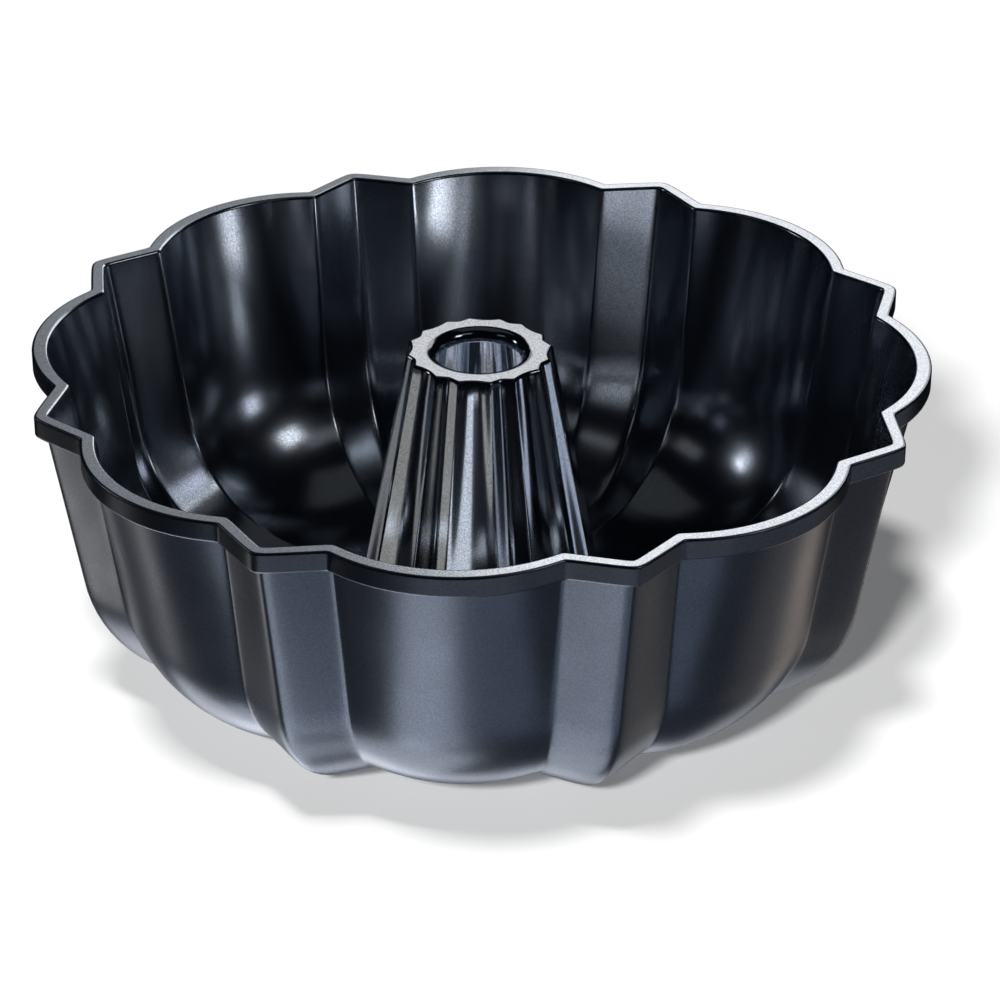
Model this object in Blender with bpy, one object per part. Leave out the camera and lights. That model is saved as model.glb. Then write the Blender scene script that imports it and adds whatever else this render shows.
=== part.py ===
"""Fluted tube pan: a round cake mould with a fluted wall and a hollow fluted tube in its middle.

One section, V ridges between round lobes, is carried along one meridian: down the wall, round
into the floor and up the tube. The back of the metal is the same section one thickness further
out, so wall, floor and tube keep lining up when a size changes. Depths count down from the rim.
"""

import math
from collections import namedtuple

import bmesh
import bpy
from mathutils import Vector

# Flutes: how many, the part of each that its V ridge takes, and how far ridge and lobe stand out,
# as a slope of the ridge's faces and as the lobe's rise over its own half width
FLUTES = 8
RIDGE_PART_AT_RIM = 0.347
RIDGE_PART_AT_TUBE_TOP = 0.444
RIDGE_SLOPE_AT_RIM = 0.64
RIDGE_SLOPE_AT_FLOOR = 0.42
RIDGE_SLOPE_AT_TUBE_TOP = 0.45
LOBE_RISE_AT_RIM = 0.369
LOBE_RISE_AT_FLOOR = 0.103
LOBE_RISE_AT_TUBE_TOP = 0.22

# Wall and floor
RIM_CREASE_RADIUS = 0.1193
CREASE_DEPTH = 0.0900
METAL_THICKNESS = 0.0024
WALL_DRAFT = math.radians(7.8)
FLOOR_BEND_RADIUS = 0.0400
STAND_FLAT_CUT = 0.0005

# Rim: a flat top and a skirt that hangs down outside the wall
RIM_WIDTH = 0.0047
SKIRT_HEIGHT = 0.0062
SKIRT_UNDERCUT = 0.0012
EDGE_BREAK = 0.0006

# Tube, its hole and the socket joint at its foot
TUBE_TOP_CREASE_RADIUS = 0.0218
TUBE_TAPER = math.radians(10.9)
TUBE_FOOT_RADIUS = 0.0154
TUBE_LEDGE_WIDTH = 0.0034
TUBE_COLLAR_DEPTH = 0.0039
NECK_STRAIGHT = 0.0030
SPIGOT_LENGTH = 0.0080
SPIGOT_THICKNESS = 0.0014
SEAT_GAP = 0.0003

# Half widths of the narrow flat along the bottom of a groove and along the edge of a ridge
GROOVE_TIP = 0.0009
RIDGE_TIP = 0.0015
SKIRT_TIP = 0.0020

# How finely the round shapes are divided
LOBE_STEPS = 8
BEND_STEPS = 8
FOOT_STEPS = 5
FLOOR_STEPS = 2

# Where the section stands on the meridian: the radius and depth of its creases, the way that its
# ridges and lobes are pushed (0 is outwards, a quarter turn down is -90 degrees), and how far
# along it lies, from 0 at the rim to 1 at the top of the tube
Station = namedtuple("Station", "radius height turn share")


def blend(first, last, share):
    """The value that lies a share of the way from first to last."""
    return first + (last - first) * share


def fitted_radii():
    """The floor bend and the tube foot, made smaller alike where the floor has no room for both."""
    wall_foot = RIM_CREASE_RADIUS - CREASE_DEPTH * math.tan(WALL_DRAFT)
    tube_foot = TUBE_TOP_CREASE_RADIUS + CREASE_DEPTH * math.tan(TUBE_TAPER)
    bend_run = FLOOR_BEND_RADIUS * math.tan((math.pi / 2 - WALL_DRAFT) / 2)
    foot_run = TUBE_FOOT_RADIUS * math.tan((math.pi / 2 - TUBE_TAPER) / 2)
    widest_share = 0.9
    scale = min(1.0, widest_share * (wall_foot - tube_foot) / (bend_run + foot_run))
    return FLOOR_BEND_RADIUS * scale, TUBE_FOOT_RADIUS * scale


BEND_RADIUS, FOOT_RADIUS = fitted_radii()
BEND_CENTRE_DEPTH = CREASE_DEPTH - BEND_RADIUS
BEND_CENTRE_RADIUS = (
    RIM_CREASE_RADIUS
    - BEND_CENTRE_DEPTH * math.tan(WALL_DRAFT)
    - BEND_RADIUS / math.cos(WALL_DRAFT)
)
FOOT_CENTRE_DEPTH = CREASE_DEPTH - FOOT_RADIUS
FOOT_CENTRE_RADIUS = (
    TUBE_TOP_CREASE_RADIUS
    + FOOT_CENTRE_DEPTH * math.tan(TUBE_TAPER)
    + FOOT_RADIUS / math.cos(TUBE_TAPER)
)

# Lengths of the meridian's five stretches: wall, bend, floor, foot and tube
WALL_RUN = (BEND_CENTRE_DEPTH + BEND_RADIUS * math.sin(WALL_DRAFT)) / math.cos(WALL_DRAFT)
BEND_RUN = BEND_RADIUS * (math.pi / 2 - WALL_DRAFT)
FLOOR_RUN = BEND_CENTRE_RADIUS - FOOT_CENTRE_RADIUS
FOOT_RUN = FOOT_RADIUS * (math.pi / 2 - TUBE_TAPER)
TUBE_RUN = (FOOT_CENTRE_DEPTH + FOOT_RADIUS * math.sin(TUBE_TAPER)) / math.cos(TUBE_TAPER)
WHOLE_RUN = WALL_RUN + BEND_RUN + FLOOR_RUN + FOOT_RUN + TUBE_RUN
FLOOR_SHARE = (WALL_RUN + BEND_RUN + FLOOR_RUN / 2) / WHOLE_RUN

# The body's neck ends here, a little above the foot's curve, and the tube stands on it
NECK_DEPTH = FOOT_CENTRE_DEPTH + FOOT_RADIUS * math.sin(TUBE_TAPER) - NECK_STRAIGHT


def wall_station(depth, behind):
    """A station on the wall, on the surface that lies this far behind the mould surface."""
    radius = RIM_CREASE_RADIUS + behind / math.cos(WALL_DRAFT) - depth * math.tan(WALL_DRAFT)
    return Station(radius, -depth, 0.0, depth / math.cos(WALL_DRAFT) / WHOLE_RUN)


def bend_stations(behind):
    """The stations of the curve from the wall into the floor."""
    stations = []
    for step in range(BEND_STEPS + 1):
        part = step / BEND_STEPS
        angle = blend(-WALL_DRAFT, -math.pi / 2, part)
        radius = BEND_CENTRE_RADIUS + (BEND_RADIUS + behind) * math.cos(angle)
        height = -BEND_CENTRE_DEPTH + (BEND_RADIUS + behind) * math.sin(angle)
        share = (WALL_RUN + part * BEND_RUN) / WHOLE_RUN
        stations.append(Station(radius, height, -part * math.pi / 2, share))
    return stations


def floor_stations(behind):
    """The stations between the two curves, on the flat of the floor."""
    stations = []
    for step in range(1, FLOOR_STEPS):
        part = step / FLOOR_STEPS
        radius = blend(BEND_CENTRE_RADIUS, FOOT_CENTRE_RADIUS, part)
        share = (WALL_RUN + BEND_RUN + part * FLOOR_RUN) / WHOLE_RUN
        stations.append(Station(radius, -CREASE_DEPTH - behind, -math.pi / 2, share))
    return stations


def foot_stations(behind):
    """The stations of the curve from the floor up into the tube."""
    stations = []
    for step in range(FOOT_STEPS + 1):
        part = step / FOOT_STEPS
        angle = blend(-math.pi / 2, TUBE_TAPER - math.pi, part)
        radius = FOOT_CENTRE_RADIUS + (FOOT_RADIUS + behind) * math.cos(angle)
        height = -FOOT_CENTRE_DEPTH + (FOOT_RADIUS + behind) * math.sin(angle)
        share = (WALL_RUN + BEND_RUN + FLOOR_RUN + part * FOOT_RUN) / WHOLE_RUN
        stations.append(Station(radius, height, blend(-math.pi / 2, -math.pi, part), share))
    return stations


def tube_station(depth, behind):
    """A station on the tube, on the surface that lies this far behind the mould surface."""
    radius = TUBE_TOP_CREASE_RADIUS - behind / math.cos(TUBE_TAPER) + depth * math.tan(TUBE_TAPER)
    share = 1.0 - depth / math.cos(TUBE_TAPER) / WHOLE_RUN
    return Station(radius, -depth, -math.pi, share)


def along(at_rim, at_floor, at_tube_top, share):
    """A value at this share of the meridian, from its values at the rim, mid floor and tube top."""
    if share < FLOOR_SHARE:
        return blend(at_rim, at_floor, share / FLOOR_SHARE)
    return blend(at_floor, at_tube_top, (share - FLOOR_SHARE) / (1.0 - FLOOR_SHARE))


def ridge_half_angle(station):
    """Half the angle between a ridge's two creases, seen from the pan's axis."""
    part = blend(RIDGE_PART_AT_RIM, RIDGE_PART_AT_TUBE_TOP, station.share)
    return part * math.pi / FLUTES


def placed(station, centre_angle, chord, across, push):
    """A point of a ridge or a lobe, pushed off the straight line between its two creases."""
    outwards = chord + push * math.cos(station.turn)
    height = station.height + push * math.sin(station.turn)
    cosine = math.cos(centre_angle)
    sine = math.sin(centre_angle)
    return Vector((outwards * cosine - across * sine, outwards * sine + across * cosine, height))


def ridge_points(station, centre_angle, tip):
    """One V ridge: its first crease and the two corners of its tip."""
    half_angle = ridge_half_angle(station)
    slope = along(
        RIDGE_SLOPE_AT_RIM, RIDGE_SLOPE_AT_FLOOR, RIDGE_SLOPE_AT_TUBE_TOP, station.share
    )
    half_width = station.radius * math.sin(half_angle)
    chord = station.radius * math.cos(half_angle)
    half_tip = min(tip, half_width / 2)
    push = slope * (half_width - half_tip)
    return [
        placed(station, centre_angle, chord, -half_width, 0.0),
        placed(station, centre_angle, chord, -half_tip, push),
        placed(station, centre_angle, chord, half_tip, push),
    ]


def lobe_points(station, centre_angle):
    """One round lobe, an arc over the chord between its creases, without its last crease."""
    half_angle = math.pi / FLUTES - ridge_half_angle(station)
    half_width = station.radius * math.sin(half_angle)
    chord = station.radius * math.cos(half_angle)
    rise = half_width * along(
        LOBE_RISE_AT_RIM, LOBE_RISE_AT_FLOOR, LOBE_RISE_AT_TUBE_TOP, station.share
    )
    arc_radius = (half_width**2 + rise**2) / (2 * rise)
    arc_half = math.asin(half_width / arc_radius)
    points = []
    for step in range(LOBE_STEPS):
        angle = arc_half * (2 * step / LOBE_STEPS - 1)
        push = arc_radius * (math.cos(angle) - 1) + rise
        points.append(placed(station, centre_angle, chord, arc_radius * math.sin(angle), push))
    return points


def fluted_ring(station, tip):
    """The whole closed section at one station. Lobes lie on the axes, and ridges between them."""
    points = []
    for flute in range(FLUTES):
        ridge_centre = (flute - 0.5) * 2 * math.pi / FLUTES
        lobe_centre = flute * 2 * math.pi / FLUTES
        points += ridge_points(station, ridge_centre, tip)
        points += lobe_points(station, lobe_centre)
    return points


def round_ring(radius, depth, beside):
    """A circle whose points lie at the same angles as those of the ring beside it."""
    points = []
    for point in beside:
        outwards = Vector((point.x, point.y, 0.0)).normalized()
        points.append(outwards * radius - Vector((0.0, 0.0, depth)))
    return points


def rim_ring(beyond, depth, tip):
    """A ring of the rim, this far beyond the mould's edge."""
    return fluted_ring(Station(RIM_CREASE_RADIUS + beyond, -depth, 0.0, 0.0), tip)


def body_rings():
    """The pan body's rings in order: rim, mould surface, neck, back of the metal and skirt."""
    half_way = (EDGE_BREAK + WALL_RUN * math.cos(WALL_DRAFT)) / 2
    front = [
        wall_station(EDGE_BREAK, 0.0),
        wall_station(half_way, 0.0),
        *bend_stations(0.0),
        *floor_stations(0.0),
        *foot_stations(0.0),
        tube_station(NECK_DEPTH, 0.0),
    ]
    back = [
        wall_station(SKIRT_HEIGHT + SKIRT_UNDERCUT, METAL_THICKNESS),
        wall_station(half_way, METAL_THICKNESS),
        *bend_stations(METAL_THICKNESS),
        *floor_stations(METAL_THICKNESS),
        *foot_stations(METAL_THICKNESS),
        tube_station(NECK_DEPTH, METAL_THICKNESS),
    ]
    rings = [rim_ring(EDGE_BREAK, 0.0, GROOVE_TIP)]
    rings += [fluted_ring(station, GROOVE_TIP) for station in front]
    rings += [fluted_ring(station, RIDGE_TIP) for station in reversed(back)]
    rings.append(rim_ring(RIM_WIDTH, SKIRT_HEIGHT, SKIRT_TIP))
    rings.append(rim_ring(RIM_WIDTH, EDGE_BREAK, SKIRT_TIP))
    rings.append(rim_ring(RIM_WIDTH - EDGE_BREAK, 0.0, SKIRT_TIP))
    return rings


def flattened(rings):
    """The rings with their lowest points cut to one level, and that level, which the pan stands on."""
    lowest = min(point.z for ring in rings for point in ring)
    level = lowest + STAND_FLAT_CUT
    for ring in rings:
        for point in ring:
            point.z = max(point.z, level)
    return rings, level


def tube_rings():
    """The tube's rings in order: outside, flat top, hole, collar, hollow, spigot and foot."""
    top = fluted_ring(tube_station(0.0, 0.0), GROOVE_TIP)
    hollow_top = tube_station(TUBE_COLLAR_DEPTH, METAL_THICKNESS)
    hollow_ring = fluted_ring(hollow_top, RIDGE_TIP)
    narrowest = min(math.hypot(point.x, point.y) for point in hollow_ring)
    hole_radius = narrowest - TUBE_LEDGE_WIDTH
    socket = tube_station(NECK_DEPTH, METAL_THICKNESS)
    spigot = socket._replace(radius=socket.radius - SEAT_GAP)
    spigot_hollow = spigot._replace(radius=spigot.radius - SPIGOT_THICKNESS)
    spigot_end = -NECK_DEPTH - SPIGOT_LENGTH
    seat = -NECK_DEPTH + SEAT_GAP
    edge = tube_station(EDGE_BREAK, 0.0)
    top_edge = tube_station(0.0, 0.0)
    return [
        fluted_ring(tube_station(NECK_DEPTH - SEAT_GAP, 0.0), GROOVE_TIP),
        fluted_ring(tube_station(NECK_DEPTH / 2, 0.0), GROOVE_TIP),
        fluted_ring(edge, GROOVE_TIP),
        fluted_ring(top_edge._replace(radius=top_edge.radius - EDGE_BREAK), GROOVE_TIP),
        round_ring(hole_radius + EDGE_BREAK, 0.0, top),
        round_ring(hole_radius, EDGE_BREAK, top),
        round_ring(hole_radius, TUBE_COLLAR_DEPTH, top),
        hollow_ring,
        fluted_ring(tube_station(NECK_DEPTH / 2, METAL_THICKNESS), RIDGE_TIP),
        fluted_ring(tube_station(NECK_DEPTH - SPIGOT_LENGTH, METAL_THICKNESS), RIDGE_TIP),
        fluted_ring(spigot_hollow, RIDGE_TIP),
        fluted_ring(spigot_hollow._replace(height=spigot_end), RIDGE_TIP),
        fluted_ring(spigot._replace(height=spigot_end), RIDGE_TIP),
        fluted_ring(spigot._replace(height=seat), RIDGE_TIP),
    ]


def lofted(name, rings, material):
    """One closed body through the rings in turn, whose last ring joins the first again."""
    shape = bmesh.new()
    loops = [[shape.verts.new(point) for point in ring] for ring in rings]
    for loop, following in zip(loops, loops[1:] + loops[:1]):
        for corner in range(len(loop)):
            before = corner - 1
            shape.faces.new((loop[before], loop[corner], following[corner], following[before]))
    bmesh.ops.recalc_face_normals(shape, faces=shape.faces)
    mesh = bpy.data.meshes.new(name)
    shape.to_mesh(mesh)
    shape.free()
    mesh.shade_smooth()
    mesh.set_sharp_from_angle(angle=math.radians(25))
    mesh.materials.append(material)
    body = bpy.data.objects.new(name, mesh)
    bpy.context.scene.collection.objects.link(body)
    return body


def coating(name, red, green, blue, roughness):
    """A dark baked coating on metal."""
    material = bpy.data.materials.new(name)
    material.use_nodes = True
    shader = material.node_tree.nodes["Principled BSDF"]
    shader.inputs["Base Color"].default_value = (red, green, blue, 1.0)
    shader.inputs["Metallic"].default_value = 0.0
    shader.inputs["Roughness"].default_value = roughness
    return material


for leftover in list(bpy.data.objects):
    bpy.data.objects.remove(leftover, do_unlink=True)

slate = coating("slate_coating", 0.060, 0.072, 0.094, 0.38)
black = coating("black_release_coating", 0.012, 0.015, 0.022, 0.22)

body_loops, stand_level = flattened(body_rings())
pan = bpy.data.objects.new("fluted_tube_pan", None)
bpy.context.scene.collection.objects.link(pan)
for piece in (
    lofted("pan_body", body_loops, slate),
    lofted("centre_tube", tube_rings(), black),
):
    piece.parent = pan
    piece.location.z = -stand_level
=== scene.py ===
"""Looks of a fluted tube pan: a coated cast aluminium cake mould, seen from above its rim."""

import math
from collections import namedtuple

import bmesh
import bpy
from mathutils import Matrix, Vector


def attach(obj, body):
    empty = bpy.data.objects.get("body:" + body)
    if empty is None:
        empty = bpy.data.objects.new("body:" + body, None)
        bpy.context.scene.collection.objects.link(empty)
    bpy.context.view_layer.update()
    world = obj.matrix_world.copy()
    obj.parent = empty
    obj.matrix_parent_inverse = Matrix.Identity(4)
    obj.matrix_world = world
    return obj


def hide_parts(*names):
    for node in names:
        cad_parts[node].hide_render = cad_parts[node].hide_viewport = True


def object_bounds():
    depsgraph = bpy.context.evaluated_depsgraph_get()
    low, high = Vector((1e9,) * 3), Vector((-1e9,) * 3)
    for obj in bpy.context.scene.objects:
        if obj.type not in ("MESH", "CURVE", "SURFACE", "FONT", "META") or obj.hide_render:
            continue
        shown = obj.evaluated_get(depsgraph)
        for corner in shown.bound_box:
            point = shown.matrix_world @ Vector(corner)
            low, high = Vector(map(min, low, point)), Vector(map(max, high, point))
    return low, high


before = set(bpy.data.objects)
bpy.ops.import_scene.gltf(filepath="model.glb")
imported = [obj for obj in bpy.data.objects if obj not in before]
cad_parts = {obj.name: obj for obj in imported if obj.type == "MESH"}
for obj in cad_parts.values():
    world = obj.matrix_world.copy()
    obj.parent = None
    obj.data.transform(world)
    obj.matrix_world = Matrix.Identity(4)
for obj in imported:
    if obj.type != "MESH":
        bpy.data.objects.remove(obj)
cad_low, cad_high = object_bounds()

# Pan body
# One shell of cast aluminium: eight V ridges and eight round lobes run down the wall, round into
# the ring floor and up to the neck that carries the tube. The rim is a flat flange with a short
# skirt, cast in one with the wall. Sizes are in metres, and depths count down from the rim.
FLUTES = 8
RIM_HEIGHT = cad_high.z
RIM_CREASE_RADIUS = 0.1193
CREASE_DEPTH = 0.0900
METAL_THICKNESS = 0.0024
WALL_DRAFT = math.radians(7.8)
FLOOR_BEND_RADIUS = 0.0400
TUBE_TOP_CREASE_RADIUS = 0.0218
TUBE_TAPER = math.radians(10.9)
TUBE_FOOT_RADIUS = 0.0154
RIM_WIDTH = 0.0047
RIM_INNER_ROUND = 0.0009
RIM_OUTER_ROUND = 0.0006
SKIRT_HEIGHT = 0.0062
SKIRT_UNDERCUT = 0.0012
SKIRT_ROUND = 0.0006
SKIRT_SLANT = 0.0001
NECK_STRAIGHT = 0.0030
NECK_ROUND = 0.0004

# The meridian of the creases: straight wall, round bend, flat floor, round foot, straight tube
BEND_CENTRE_DEPTH = CREASE_DEPTH - FLOOR_BEND_RADIUS
BEND_CENTRE_RADIUS = (
    RIM_CREASE_RADIUS
    - BEND_CENTRE_DEPTH * math.tan(WALL_DRAFT)
    - FLOOR_BEND_RADIUS / math.cos(WALL_DRAFT)
)
FOOT_CENTRE_DEPTH = CREASE_DEPTH - TUBE_FOOT_RADIUS
FOOT_CENTRE_RADIUS = (
    TUBE_TOP_CREASE_RADIUS
    + FOOT_CENTRE_DEPTH * math.tan(TUBE_TAPER)
    + TUBE_FOOT_RADIUS / math.cos(TUBE_TAPER)
)
WALL_END = BEND_CENTRE_DEPTH + FLOOR_BEND_RADIUS * math.sin(WALL_DRAFT)
TUBE_END = FOOT_CENTRE_DEPTH + TUBE_FOOT_RADIUS * math.sin(TUBE_TAPER)
NECK_DEPTH = TUBE_END - NECK_STRAIGHT
WALL_RUN = WALL_END / math.cos(WALL_DRAFT)
BEND_RUN = FLOOR_BEND_RADIUS * (math.pi / 2 - WALL_DRAFT)
FLOOR_RUN = BEND_CENTRE_RADIUS - FOOT_CENTRE_RADIUS
FOOT_RUN = TUBE_FOOT_RADIUS * (math.pi / 2 - TUBE_TAPER)
TUBE_RUN = TUBE_END / math.cos(TUBE_TAPER)
WHOLE_RUN = WALL_RUN + BEND_RUN + FLOOR_RUN + FOOT_RUN + TUBE_RUN
FLOOR_SHARE = (WALL_RUN + BEND_RUN + FLOOR_RUN / 2) / WHOLE_RUN

# The flutes: the share of their spacing that the ridge takes at the rim and at the tube's top, then
# the slope of its faces and the rise of the lobe's arc, at the rim, the floor and the tube's top
RIDGE_SHARE = (0.347, 0.444)
FACE_SLOPE = (0.64, 0.42, 0.42)
LOBE_RISE = (0.369, 0.103, 0.20)

# How far real edges are rounded by casting and coating, a crease at the rim and at the tube's top
CREASE_SOFTNESS = (0.0006, 0.0011)
GROOVE_SOFTNESS = 0.0009
RIDGE_SOFTNESS = 0.0015
SKIRT_SOFTNESS = 0.0020

# Columns of points over half a lobe and half a ridge, and rows of points down parts of the shell.
# The lobe's columns crowd towards the crease, apart from a part of their spacing that is even.
LOBE_COLUMNS = 18
RIDGE_COLUMNS = 12
EVEN_PART = 0.15
INNER_ROUND_ROWS = 4
OUTER_ROUND_ROWS = 5
WALL_ROWS = 8
BACK_WALL_ROWS = 6
BEND_ROWS = 18
FLOOR_ROWS = 4
FOOT_ROWS = 10
NECK_ROUND_ROWS = 3

# A row this far from a round keeps the flat beside it flat. The middle of a quarter round lies this
# share of its radius in from either side.
FLAT_SUPPORT = 0.0002
ROUND_MIDDLE = 0.3
MERGE_DISTANCE = 1e-6
SHARP_ANGLE = math.radians(50)

# A ring of the shell: its crease radius and height, the way that its flutes are pushed (0 outwards,
# -90 degrees down), its share of the meridian, how soft its ridge's edge is, its coating, and the
# radius of the circle that stands for the flutes where it is round
Ring = namedtuple("Ring", "radius height turn share ridge_softness coating circle")
OUTSIDE, INSIDE = 0, 1


def blend(first, last, share):
    """The value that lies a share of the way from first to last."""
    return first + (last - first) * share


def along(at_rim, at_floor, at_tube_top, share):
    """A value on the meridian, from those at the rim, mid floor and the tube's top."""
    if share < FLOOR_SHARE:
        return blend(at_rim, at_floor, share / FLOOR_SHARE)
    return blend(at_floor, at_tube_top, (share - FLOOR_SHARE) / (1.0 - FLOOR_SHARE))


def rim_ring(beyond, depth, softness, coating):
    return Ring(RIM_CREASE_RADIUS + beyond, -depth, 0.0, 0.0, softness, coating, None)


def wall_ring(depth, behind, softness, coating):
    radius = RIM_CREASE_RADIUS + behind / math.cos(WALL_DRAFT) - depth * math.tan(WALL_DRAFT)
    share = depth / math.cos(WALL_DRAFT) / WHOLE_RUN
    return Ring(radius, -depth, 0.0, share, softness, coating, None)


def bend_ring(part, behind, softness, coating):
    angle = blend(-WALL_DRAFT, -math.pi / 2, part)
    radius = BEND_CENTRE_RADIUS + (FLOOR_BEND_RADIUS + behind) * math.cos(angle)
    height = -BEND_CENTRE_DEPTH + (FLOOR_BEND_RADIUS + behind) * math.sin(angle)
    share = (WALL_RUN + part * BEND_RUN) / WHOLE_RUN
    return Ring(radius, height, -part * math.pi / 2, share, softness, coating, None)


def floor_ring(part, behind, softness, coating):
    radius = blend(BEND_CENTRE_RADIUS, FOOT_CENTRE_RADIUS, part)
    share = (WALL_RUN + BEND_RUN + part * FLOOR_RUN) / WHOLE_RUN
    return Ring(radius, -CREASE_DEPTH - behind, -math.pi / 2, share, softness, coating, None)


def foot_ring(part, behind, softness, coating):
    angle = blend(-math.pi / 2, TUBE_TAPER - math.pi, part)
    radius = FOOT_CENTRE_RADIUS + (TUBE_FOOT_RADIUS + behind) * math.cos(angle)
    height = -FOOT_CENTRE_DEPTH + (TUBE_FOOT_RADIUS + behind) * math.sin(angle)
    share = (WALL_RUN + BEND_RUN + FLOOR_RUN + part * FOOT_RUN) / WHOLE_RUN
    turn = blend(-math.pi / 2, -math.pi, part)
    return Ring(radius, height, turn, share, softness, coating, None)


def tube_ring(depth, behind, softness, coating):
    inwards = behind / math.cos(TUBE_TAPER)
    radius = TUBE_TOP_CREASE_RADIUS - inwards + depth * math.tan(TUBE_TAPER)
    share = 1.0 - depth / math.cos(TUBE_TAPER) / WHOLE_RUN
    return Ring(radius, -depth, -math.pi, share, softness, coating, None)


def spread(steps, first=0):
    """The shares 0 to 1 in equal steps, leaving out the first few when asked."""
    return [step / steps for step in range(first, steps + 1)]


def softened(distance, softness, reach):
    """How much is rounded off a sharp corner this far from it, nothing where the face ends."""
    return math.hypot(distance, softness) - distance - math.hypot(reach, softness) + reach


def flute_point(ring, column):
    """A point of half a flute: from the lobe's middle over the crease to the ridge's middle."""
    ridge_half = blend(*RIDGE_SHARE, ring.share) * math.pi / FLUTES
    lobe_half = math.pi / FLUTES - ridge_half
    face_slope = along(*FACE_SLOPE, ring.share)
    rise = along(*LOBE_RISE, ring.share)
    lobe_width = ring.radius * math.sin(lobe_half)
    ridge_width = ring.radius * math.sin(ridge_half)
    lobe_end_slope = math.tan(2 * math.atan(rise) - lobe_half)
    face_end_slope = math.tan(math.atan(face_slope) - ridge_half)
    crease_slope = (lobe_end_slope + face_end_slope) / 2
    crease_softness = blend(*CREASE_SOFTNESS, ring.share)
    if column <= LOBE_COLUMNS:
        left = 1.0 - column / LOBE_COLUMNS
        from_crease = lobe_width * (EVEN_PART * left + (1.0 - EVEN_PART) * left**2)
        across = lobe_width - from_crease
        arc_radius = lobe_width * (1 + rise**2) / (2 * rise)
        push = math.sqrt(arc_radius**2 - across**2) - arc_radius + lobe_width * rise
        push += crease_slope * softened(from_crease, crease_softness, lobe_width)
        centre_angle = 0.0
        chord = ring.radius * math.cos(lobe_half)
    else:
        part = (column - LOBE_COLUMNS) / RIDGE_COLUMNS
        from_crease = ridge_width * (1.0 - math.cos(math.pi * part)) / 2
        across = from_crease - ridge_width
        push = face_slope * from_crease
        push -= face_slope * softened(-across, ring.ridge_softness, ridge_width)
        push += crease_slope * softened(from_crease, crease_softness, ridge_width)
        centre_angle = math.pi / FLUTES
        chord = ring.radius * math.cos(ridge_half)
    outwards = chord + push * math.cos(ring.turn)
    height = RIM_HEIGHT + ring.height + push * math.sin(ring.turn)
    x = outwards * math.cos(centre_angle) - across * math.sin(centre_angle)
    y = outwards * math.sin(centre_angle) + across * math.cos(centre_angle)
    if ring.circle:
        x, y = ring.circle * x / math.hypot(x, y), ring.circle * y / math.hypot(x, y)
    return Vector((x, y, max(height, 0.0)))


def fluted_shell(name, rings, coatings):
    """One closed shell: half a flute is drawn over a grid, mirrored, and turned round the axis."""
    shape = bmesh.new()
    columns = LOBE_COLUMNS + RIDGE_COLUMNS
    rows = len(rings)
    half_grid = 0.5
    bmesh.ops.create_grid(shape, x_segments=columns, y_segments=rows, size=half_grid)
    for face in shape.faces:
        row = int((face.calc_center_median().y + half_grid) * rows)
        face.material_index = rings[row].coating
        face.smooth = True
    for vert in shape.verts:
        column = round((vert.co.x + half_grid) * columns)
        row = round((vert.co.y + half_grid) * rows) % rows
        vert.co = flute_point(rings[row], column)
    whole = shape.verts[:] + shape.edges[:] + shape.faces[:]
    bmesh.ops.mirror(shape, geom=whole, axis="Y", merge_dist=MERGE_DISTANCE)
    whole = shape.verts[:] + shape.edges[:] + shape.faces[:]
    bmesh.ops.spin(
        shape,
        geom=whole,
        cent=(0.0, 0.0, 0.0),
        axis=(0.0, 0.0, 1.0),
        angle=math.tau * (FLUTES - 1) / FLUTES,
        steps=FLUTES - 1,
        use_duplicate=True,
    )
    bmesh.ops.remove_doubles(shape, verts=shape.verts, dist=MERGE_DISTANCE)
    bmesh.ops.recalc_face_normals(shape, faces=shape.faces)
    mesh = bpy.data.meshes.new(name)
    shape.to_mesh(mesh)
    shape.free()
    mesh.set_sharp_from_angle(angle=SHARP_ANGLE)
    for coating in coatings:
        mesh.materials.append(coating)
    shell = bpy.data.objects.new(name, mesh)
    bpy.context.scene.collection.objects.link(shell)
    return shell


def mould_rings():
    """The mould surface in order: inner round, wall, bend, floor, foot and the neck's edge."""
    rings = []
    for part in spread(INNER_ROUND_ROWS):
        angle = part * math.pi / 2
        out = RIM_INNER_ROUND * (1 - math.sin(angle))
        down = RIM_INNER_ROUND * (1 - math.cos(angle))
        rings.append(rim_ring(out, down, GROOVE_SOFTNESS, INSIDE))
    for part in spread(WALL_ROWS, 1):
        depth = blend(RIM_INNER_ROUND, WALL_END, part)
        rings.append(wall_ring(depth, 0.0, GROOVE_SOFTNESS, INSIDE))
    for ring_at, rows in ((bend_ring, BEND_ROWS), (floor_ring, FLOOR_ROWS), (foot_ring, FOOT_ROWS)):
        rings += [ring_at(part, 0.0, GROOVE_SOFTNESS, INSIDE) for part in spread(rows, 1)]
    for part in spread(NECK_ROUND_ROWS):
        angle = part * math.pi / 2
        behind = NECK_ROUND * (1 - math.cos(angle))
        depth = NECK_DEPTH + NECK_ROUND * (1 - math.sin(angle))
        rings.append(tube_ring(depth, behind, GROOVE_SOFTNESS, INSIDE))
    return rings


def back_rings():
    """The back of the metal in order: neck, foot, floor, bend and wall, up to under the skirt."""
    behind = METAL_THICKNESS
    rings = [tube_ring(NECK_DEPTH, behind, RIDGE_SOFTNESS, OUTSIDE)]
    for ring_at, rows, first in (
        (foot_ring, FOOT_ROWS, 0),
        (floor_ring, FLOOR_ROWS, 1),
        (bend_ring, BEND_ROWS, 1),
    ):
        parts = spread(rows)[::-1][first:]
        rings += [ring_at(part, behind, RIDGE_SOFTNESS, OUTSIDE) for part in parts]
    for part in spread(BACK_WALL_ROWS)[::-1][1:]:
        depth = blend(SKIRT_HEIGHT + SKIRT_UNDERCUT, WALL_END, part)
        rings.append(wall_ring(depth, behind, RIDGE_SOFTNESS, OUTSIDE))
    return rings


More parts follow.
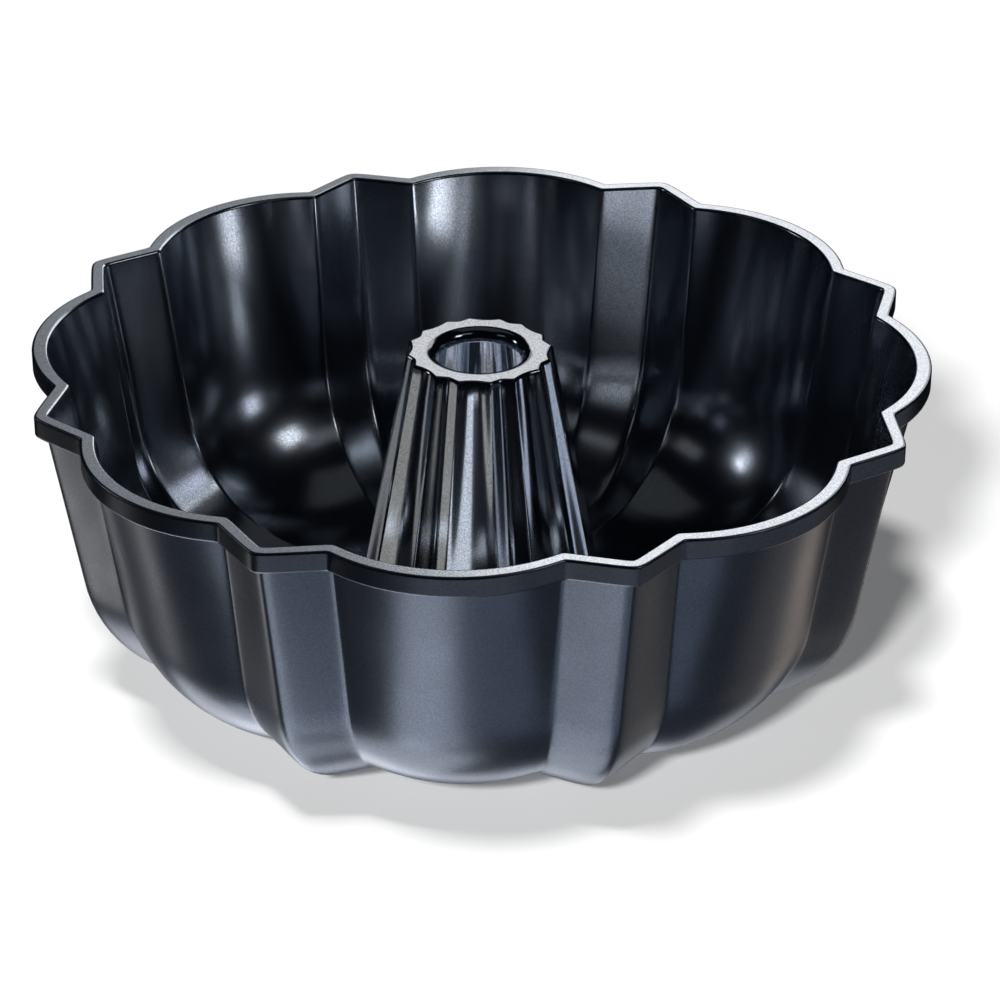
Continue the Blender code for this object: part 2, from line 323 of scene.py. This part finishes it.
def flange_rings():
    """The skirt's lower edge, its upright face, the outer round and the rim's flat top."""
    rings = []
    for inwards, up in (
        (SKIRT_ROUND, -SKIRT_SLANT),
        (SKIRT_ROUND * ROUND_MIDDLE, SKIRT_ROUND * ROUND_MIDDLE),
        (0.0, SKIRT_ROUND),
        (0.0, SKIRT_ROUND + FLAT_SUPPORT),
        (0.0, SKIRT_HEIGHT - RIM_OUTER_ROUND - FLAT_SUPPORT),
    ):
        rings.append(rim_ring(RIM_WIDTH - inwards, SKIRT_HEIGHT - up, SKIRT_SOFTNESS, OUTSIDE))
    for part in spread(OUTER_ROUND_ROWS):
        angle = part * math.pi / 2
        inwards = RIM_OUTER_ROUND * (1 - math.cos(angle))
        down = RIM_OUTER_ROUND * (1 - math.sin(angle))
        rings.append(rim_ring(RIM_WIDTH - inwards, down, SKIRT_SOFTNESS, OUTSIDE))
    flat_end = RIM_WIDTH - RIM_OUTER_ROUND - FLAT_SUPPORT
    rings.append(rim_ring(flat_end, 0.0, SKIRT_SOFTNESS, INSIDE))
    rings.append(rim_ring(RIM_INNER_ROUND + FLAT_SUPPORT, 0.0, GROOVE_SOFTNESS, INSIDE))
    return rings


def linear(hex_colour):
    """The linear red, green, blue and alpha of an sRGB hex colour."""
    values = [int(hex_colour[place : place + 2], 16) / 255 for place in (0, 2, 4)]
    values = [v / 12.92 if v <= 0.04045 else ((v + 0.055) / 1.055) ** 2.4 for v in values]
    return (*values, 1.0)


def add_node(tree, kind, settings=(), values=(), links=()):
    """Adds a shader node, sets its options and sockets, and links its inputs to other outputs."""
    node = tree.nodes.new(kind)
    for name, value in dict(settings).items():
        setattr(node, name, value)
    for name, value in dict(values).items():
        node.inputs[name].default_value = value
    for name, output in dict(links).items():
        tree.links.new(output, node.inputs[name])
    return node


# Features of the coatings for each metre, and the height of the sprayed film's grain
FLAKES_PER_METRE = 2400.0
CLOUDS_PER_METRE = 50.0
GRAINS_PER_METRE = 800.0
GRAIN_HEIGHT = 0.0002


def coating(name, dark, light, least_rough, most_rough, grain):
    """A baked metallic coating: fine flake in the colour, cloudy gloss, faint sprayed grain."""
    material = bpy.data.materials.new(name)
    material.use_nodes = True
    tree = material.node_tree
    shader = tree.nodes["Principled BSDF"]
    shader.inputs["Metallic"].default_value = 1.0
    place = add_node(tree, "ShaderNodeTexCoord").outputs["Object"]
    # Real flake is under 0.1 mm across and wouldn't show, so it is drawn about 0.4 mm wide
    flake = add_node(
        tree,
        "ShaderNodeTexNoise",
        values={"Scale": FLAKES_PER_METRE, "Detail": 1.0},
        links={"Vector": place},
    )
    colour = add_node(tree, "ShaderNodeValToRGB", links={"Fac": flake.outputs["Fac"]})
    for element, position, shade in zip(colour.color_ramp.elements, (0.35, 0.7), (dark, light)):
        element.position = position
        element.color = linear(shade)
    tree.links.new(colour.outputs["Color"], shader.inputs["Base Color"])
    # Handling and washing leave cloudy patches about 20 mm wide
    cloud = add_node(
        tree,
        "ShaderNodeTexNoise",
        values={"Scale": CLOUDS_PER_METRE, "Detail": 3.0},
        links={"Vector": place},
    )
    gloss = add_node(
        tree,
        "ShaderNodeMapRange",
        values={"From Min": 0.3, "From Max": 0.7, "To Min": least_rough, "To Max": most_rough},
        links={"Value": cloud.outputs["Fac"]},
    )
    tree.links.new(gloss.outputs["Result"], shader.inputs["Roughness"])
    # The sprayed film's own grain, drawn about 1.2 mm wide so that it shows
    spray = add_node(
        tree,
        "ShaderNodeTexNoise",
        values={"Scale": GRAINS_PER_METRE, "Detail": 1.0},
        links={"Vector": place},
    )
    bump = add_node(
        tree,
        "ShaderNodeBump",
        values={"Strength": grain, "Distance": GRAIN_HEIGHT},
        links={"Height": spray.outputs["Fac"]},
    )
    tree.links.new(bump.outputs["Normal"], shader.inputs["Normal"])
    return material


# Slate non-stick paint with metal flake: a satin blue-grey that goes almost black in shade
slate = coating(
    "slate_coating", dark="757c87", light="878e99", least_rough=0.26, most_rough=0.32, grain=0.04
)
# Dark glossy release coating: a soft mirror, black where it reflects the dark room
release = coating(
    "release_coating", dark="9299a3", light="b4bbc5", least_rough=0.17, most_rough=0.20, grain=0.01
)
body_rings = mould_rings() + back_rings() + flange_rings()
pan_shell = fluted_shell("pan_shell", body_rings, [slate, release])
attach(pan_shell, "root")
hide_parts("pan_body")

# Centre tube
# A tapered hollow tube with the same flutes turned inwards, a flat ring on top with a rounded hole,
# and a spigot that drops into the body's neck.
SEAT_GAP = 0.0003
TOP_ROUND = 0.0008
HOLE_RADIUS = 0.0124
HOLE_ROUND = 0.0034
COLLAR_DEPTH = 0.0039
COLLAR_CHAMFER = 0.0003
SPIGOT_LENGTH = 0.0080
SPIGOT_THICKNESS = 0.0014
FOOT_EDGE = 0.0005
TUBE_COATING = 0
OUTER_ROWS = 10
TOP_ROUND_ROWS = 3
HOLE_ROUND_ROWS = 8
HOLLOW_ROWS = 8


def tube_rings():
    """The tube's rings in order: outside, flat top, hole, collar, hollow, spigot and foot."""
    groove, ridge = (GROOVE_SOFTNESS, TUBE_COATING), (RIDGE_SOFTNESS, TUBE_COATING)
    foot = NECK_DEPTH - SEAT_GAP
    rings = [tube_ring(foot, 0.0, *groove)]
    for part in spread(OUTER_ROWS):
        rings.append(tube_ring(blend(foot - FOOT_EDGE, TOP_ROUND, part), 0.0, *groove))
    for part in spread(TOP_ROUND_ROWS, 1):
        angle = part * math.pi / 2
        behind = TOP_ROUND * (1 - math.cos(angle))
        rings.append(tube_ring(TOP_ROUND * (1 - math.sin(angle)), behind, *groove))
    top = tube_ring(0.0, TOP_ROUND + FLAT_SUPPORT, *groove)
    rings.append(top)
    rings.append(top._replace(circle=HOLE_RADIUS + HOLE_ROUND + FLAT_SUPPORT))
    for part in spread(HOLE_ROUND_ROWS):
        angle = part * math.pi / 2
        circle = HOLE_RADIUS + HOLE_ROUND * (1 - math.sin(angle))
        rings.append(top._replace(circle=circle, height=-HOLE_ROUND * (1 - math.cos(angle))))
    collar = top._replace(circle=HOLE_RADIUS, height=-COLLAR_DEPTH + COLLAR_CHAMFER)
    rings.append(collar)
    rings.append(top._replace(circle=HOLE_RADIUS + COLLAR_CHAMFER, height=-COLLAR_DEPTH))
    for part in spread(HOLLOW_ROWS):
        depth = blend(COLLAR_DEPTH, NECK_DEPTH - SPIGOT_LENGTH, part)
        rings.append(tube_ring(depth, METAL_THICKNESS, *ridge))
    socket = tube_ring(NECK_DEPTH, METAL_THICKNESS, *ridge)
    spigot = socket._replace(radius=socket.radius - SEAT_GAP)
    hollow = spigot._replace(radius=spigot.radius - SPIGOT_THICKNESS)
    end = -NECK_DEPTH - SPIGOT_LENGTH
    rings += [hollow, hollow._replace(height=end), spigot._replace(height=end)]
    rings.append(spigot._replace(height=-NECK_DEPTH + SEAT_GAP))
    return rings


# The same release coating on the turned tube, which is smoother and mirrors more sharply
glossy_release = coating(
    "glossy_release_coating",
    dark="949ba5",
    light="b1b8c2",
    least_rough=0.09,
    most_rough=0.11,
    grain=0.005,
)
tube_shell = fluted_shell("tube_shell", tube_rings(), [glossy_release])
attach(tube_shell, "root")
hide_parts("centre_tube")

# Table
# A white table top that runs on as far as the camera sees. The pan is a dark mirror, so the table
# is kept out of its reflections, as black card under the pan does in a studio.
TABLE_HALF_WIDTH = 6.0
table_mesh = bpy.data.meshes.new("table")
table_shape = bmesh.new()
bmesh.ops.create_grid(table_shape, x_segments=1, y_segments=1, size=TABLE_HALF_WIDTH)
table_shape.to_mesh(table_mesh)
table_shape.free()
table = bpy.data.objects.new("table", table_mesh)
bpy.context.scene.collection.objects.link(table)
# Matt white paper, with no gloss to show the lamps
paper = bpy.data.materials.new("white_paper")
paper.use_nodes = True
paper_shader = paper.node_tree.nodes["Principled BSDF"]
paper_shader.inputs["Base Color"].default_value = linear("f4f4f4")
paper_shader.inputs["Roughness"].default_value = 0.9
table_mesh.materials.append(paper)
table.visible_glossy = False
table.visible_shadow = False

# Studio light
# Soft boxes round the pan, in a dim room. Those for the pan and those for the table are kept apart
# with light linking. Directions are in degrees: 0 is behind the pan, 90 to its right.
LAMP_DISTANCE = 2.0
LAMP_CENTRE = Vector((0.0, 0.0, 0.06))
ROOM_BRIGHTNESS = 0.01
world = bpy.data.worlds.new("studio")
bpy.context.scene.world = world
world.use_nodes = True
room = world.node_tree.nodes["Background"]
room.inputs["Color"].default_value = linear("7d9cc4")
room.inputs["Strength"].default_value = ROOM_BRIGHTNESS


def lighting_group(name, *pieces):
    """A collection of the pieces that a lamp lights, for light linking."""
    group = bpy.data.collections.new(name)
    for piece in pieces:
        group.objects.link(piece)
    return group


lit_pan = lighting_group("lit_pan", pan_shell, tube_shell)
lit_body = lighting_group("lit_body", pan_shell)
lit_tube = lighting_group("lit_tube", tube_shell)
lit_table = lighting_group("lit_table", table)


def facing(azimuth, elevation):
    """The direction that looks this way from the pan."""
    turn, rise = math.radians(azimuth), math.radians(elevation)
    level = math.cos(rise)
    return Vector((math.sin(turn) * level, math.cos(turn) * level, math.sin(rise)))


def soft_panel(name, place, towards, wide, tall, brightness, colour, lit, fan=180):
    """A flat soft light of this size in metres, lighting only the pieces that it is for."""
    lamp = bpy.data.lights.new(name, "AREA")
    lamp.shape = "RECTANGLE"
    lamp.size, lamp.size_y = wide, tall
    lamp.energy = brightness * math.pi * wide * tall
    lamp.color = linear(colour)[:3]
    lamp.spread = math.radians(fan)
    panel = bpy.data.objects.new(name, lamp)
    panel.location = place
    panel.rotation_euler = (-towards).to_track_quat("Z", "Y").to_euler()
    panel.visible_camera = False
    bpy.context.scene.collection.objects.link(panel)
    panel.light_linking.receiver_collection = lit


def softbox(name, azimuth, elevation, wide, tall, brightness, colour="ffffff", lit=lit_pan):
    """A soft box two metres off, so many degrees wide and tall as seen from the pan."""
    away = facing(azimuth, elevation)
    width = 2 * LAMP_DISTANCE * math.tan(math.radians(wide / 2))
    height = 2 * LAMP_DISTANCE * math.tan(math.radians(tall / 2))
    place = away * LAMP_DISTANCE + LAMP_CENTRE
    soft_panel(name, place, -away, width, height, brightness, colour, lit)


# Above the rim: two keys that make the round glints, faint fill, and panels that the rim mirrors.
# Each has its azimuth, elevation, width and height in degrees, then its brightness.
softbox("right_key", 114, 41, 13, 12, 2.6)
softbox("right_upper", 135, 52, 18, 12, 0.22)
softbox("left_high", -82, 23, 8, 9, 3.6)
softbox("left_upper", -120, 44, 16, 10, 0.17)
softbox("back_panel", 19, 30, 40, 18, 2.2, "fffaf4", lit_body)
softbox("tube_back_panel", 0, 32, 40, 12, 1.0, "fff6ec", lit_tube)
softbox("back_left", -9, 27, 16, 18, 0.5)
softbox("overhead", -20, 75, 40, 40, 0.05)

# Below the rim, as light thrown up by the table: the outside of the wall leans out over these
softbox("under", 0, -90, 104, 104, 0.06, "e6eeff")
softbox("front_left_under", -159, -54, 24, 26, 1.15, "f2f6ff")
softbox("nadir", -115, -76, 30, 26, 1.15, "f8faff")
softbox("left_under", -84, -36, 11, 12, 1.3, "fff6ec")
softbox("back_left_under", -30, -36, 26, 14, 0.35)
softbox("left_bottom", -46, -58, 28, 20, 1.4, "fafaff")
softbox("right_bottom", 24, -54, 26, 16, 0.5)
softbox("front_bottom", -16, -68, 30, 18, 1.1, "f4f6ff")
softbox("right_under", 50, -40, 16, 16, 0.6, "ffe9d4")
softbox("right_side", 76, -45, 26, 20, 0.13, "fff0e2")
softbox("right_skirt", 104, -27, 76, 9, 0.22, "f4f6ff")
softbox("front_skirt", 172, -28, 56, 8, 0.38, "f0f4ff")
softbox("front_under", 156, -48, 34, 14, 0.33, "d4e2ff")


def standing(azimuth, radius, height):
    """A place over the floor of the pan, this far from its axis and from the table."""
    return facing(azimuth, 0) * radius + Vector((0, 0, height))


# The concave coated wall gathers light into bright patches, which other parts of the pan mirror. A
# path tracer finds that slowly, so small panels over the floor stand in, each with a narrow fan:
# the glint low on the left back lobe (wall) and on the right one (corner), the light bands at the
# top of the back lobes, the back ridge's face, bright at its top, and the patch at the foot of the
# left ridge. Each has its place as azimuth, radius and height, the azimuth and elevation that it
# faces, its width and height, its brightness and its fan in degrees.
for name, azimuth, radius, height, aim, tilt, wide, tall, brightness, fan, colour in (
    ("wall_focus", 56, 0.078, 0.047, -84, -15, 0.018, 0.024, 0.32, 60, "f4f7ff"),
    ("band_focus", 58, 0.072, 0.081, -58, 25, 0.030, 0.034, 0.85, 70, "f8f9fc"),
    ("corner_focus", -10, 0.082, 0.060, 94, -22, 0.012, 0.014, 0.16, 60, "f4f7ff"),
    ("ridge_focus_high", 109, 0.084, 0.078, -13, 0, 0.044, 0.040, 0.115, 60, "f4f6fc"),
    ("ridge_focus_low", 113, 0.077, 0.034, -13, 0, 0.044, 0.024, 0.028, 60, "f4f6fc"),
    ("patch_focus", -63, 0.056, 0.054, -62, -33, 0.014, 0.008, 0.16, 60, "f0f4ff"),
):
    place = standing(azimuth, radius, height)
    soft_panel(name, place, facing(aim, tilt), wide, tall, brightness, colour, lit_body, fan)

# The tube mirrors bright streaks of the wall round it. Upright strips between them stand in.
STRIP_RADIUS = 0.066
STRIP_CENTRE = 0.050
STRIP_HEIGHT = 0.084
for name, azimuth, wide, brightness, colour in (
    ("tube_strip_front", 178, 0.008, 1.35, "f8faff"),
    ("tube_strip_front_left", -166, 0.004, 0.65, "fff8ec"),
    ("tube_strip_left", -118, 0.011, 0.55, "fff6e8"),
    ("tube_strip_far_left", -94, 0.006, 0.4, "fffaf2"),
    ("tube_strip_right", 128, 0.006, 0.5, "e6eeff"),
    ("tube_strip_far_right", 97, 0.006, 0.9, "e6eeff"),
):
    place = standing(azimuth, STRIP_RADIUS, STRIP_CENTRE)
    inwards = -facing(azimuth, 0)
    soft_panel(name, place, inwards, wide, STRIP_HEIGHT, brightness, colour, lit_tube)
# The light that falls through the hole on the back of the hollow
hole_place = standing(180, 0.010, 0.045)
soft_panel("tube_inside", hole_place, facing(0, 45), 0.020, 0.022, 0.28, "f8f0ec", lit_tube)


def table_sun(name, azimuth, elevation, softness, strength, casts):
    """Parallel light on the table alone, so that its white is the same all over."""
    lamp = bpy.data.lights.new(name, "SUN")
    lamp.angle = math.radians(softness)
    lamp.energy = strength
    lamp.use_shadow = casts
    sun = bpy.data.objects.new(name, lamp)
    sun.rotation_euler = facing(azimuth, elevation).to_track_quat("Z", "Y").to_euler()
    bpy.context.scene.collection.objects.link(sun)
    sun.light_linking.receiver_collection = lit_table


# A low light for the long shadow, a high one for the shadow close by, and a fill that casts none
table_sun("table_key", -166, 36, 7.0, 2.6, True)
table_sun("table_soft", -150, 77, 8.0, 1.56, True)
table_sun("table_fill", 0, 80, 1.0, 0.55, False)

# Camera
# The photograph's own view: about 29 degrees above the rim's plane, from a metre away.
VIEW_TURN = math.radians(3.93)
VIEW_RISE = math.radians(29.33)
VIEW_ROLL = math.radians(-0.09)
VIEW_DISTANCE = 1.0734
AIM_RIGHT = 0.00517
AIM_BELOW_RIM = 0.05038
LENS_MILLIMETRES = 129.18
SENSOR_MILLIMETRES = 36.0
camera_data = bpy.data.cameras.new("camera")
camera_data.lens = LENS_MILLIMETRES
camera_data.sensor_width = SENSOR_MILLIMETRES
camera = bpy.data.objects.new("camera", camera_data)
camera.rotation_euler = (math.pi / 2 - VIEW_RISE, VIEW_ROLL, VIEW_TURN)
back = math.cos(VIEW_RISE) * VIEW_DISTANCE
camera.location = (
    AIM_RIGHT * math.cos(VIEW_TURN) + back * math.sin(VIEW_TURN),
    AIM_RIGHT * math.sin(VIEW_TURN) - back * math.cos(VIEW_TURN),
    RIM_HEIGHT - AIM_BELOW_RIM + math.sin(VIEW_RISE) * VIEW_DISTANCE,
)
bpy.context.scene.collection.objects.link(camera)
bpy.context.scene.camera = camera
bpy.context.scene.view_settings.view_transform = "Standard"
